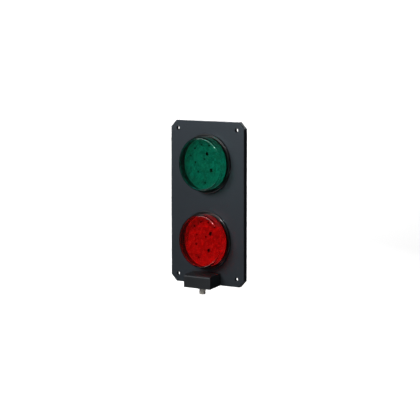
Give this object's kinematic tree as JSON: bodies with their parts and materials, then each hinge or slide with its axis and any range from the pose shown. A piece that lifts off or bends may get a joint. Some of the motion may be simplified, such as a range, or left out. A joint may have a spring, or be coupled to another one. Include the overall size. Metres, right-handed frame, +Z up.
{
  "type": "LED signal light",
  "caption": "Wall-mounted two-aspect LED signal light: green and red round lamps on a dark chamfered plate, with a small connector box and an M12 plug at the foot",
  "frame": {"origin": "centre of the plate's rear face, the face that lies against the wall", "axes": "the lamps look along -Y, +Y points into the wall, +Z is up and +X is to the viewer's right"},
  "size_m": [0.165, 0.039, 0.3104],
  "materials": {
    "plate_coat": "satin charcoal powder coat on a 9 mm aluminium plate",
    "cover_metal": "plain brushed sheet",
    "screw_steel": "zinc plated, socket drive",
    "base_plastic": "black moulded polycarbonate",
    "bezel_plastic": "black, polished lip",
    "seal_rubber": "black EPDM",
    "green_cap": "clear green tinted polycarbonate, gloss",
    "red_cap": "clear red tinted polycarbonate, gloss",
    "board_white": "white solder mask on glass-fibre laminate",
    "led_pack": "white package with a clear resin window",
    "chip_black": "black epoxy body, tinned ends",
    "socket_plastic": "natural nylon",
    "wire_black": "PVC insulation",
    "box_plastic": "charcoal moulded box, fine grain",
    "board_green": "green solder mask",
    "terminal_plastic": "green moulded body",
    "nickel": "nickel plated brass, slightly worn",
    "insert_plastic": "black glass filled nylon",
    "gold_pin": "gold plated"
  },
  "bodies": {
    "root": {"mounting_plate": "plate_coat", "channel_cover": "cover_metal", "channel_cover_screws": "screw_steel", "connector_box": "box_plastic", "box_gasket": "seal_rubber", "box_screws": "screw_steel", "driver_board": "board_green", "driver_board_parts": "chip_black", "driver_board_screws": "screw_steel", "wire_terminal": "terminal_plastic", "connector_body": "nickel", "connector_seal": "seal_rubber", "connector_locknut": "nickel", "connector_insert": "insert_plastic", "connector_pins": "gold_pin", "green_base_gasket": "seal_rubber", "green_lamp_base": "base_plastic", "green_base_screws": "screw_steel", "green_led_board": "board_white", "green_board_screws": "screw_steel", "green_leds": "led_pack", "green_board_parts": "chip_black", "green_lead_socket": "socket_plastic", "green_leads": "wire_black", "green_lens_seal": "seal_rubber", "green_lens_cap": "green_cap", "green_bezel_ring": "bezel_plastic", "red_base_gasket": "seal_rubber", "red_lamp_base": "base_plastic", "red_base_screws": "screw_steel", "red_led_board": "board_white", "red_board_screws": "screw_steel", "red_leds": "led_pack", "red_board_parts": "chip_black", "red_lead_socket": "socket_plastic", "red_leads": "wire_black", "red_lens_seal": "seal_rubber", "red_lens_cap": "red_cap", "red_bezel_ring": "bezel_plastic"}
  },
  "joints": []
}
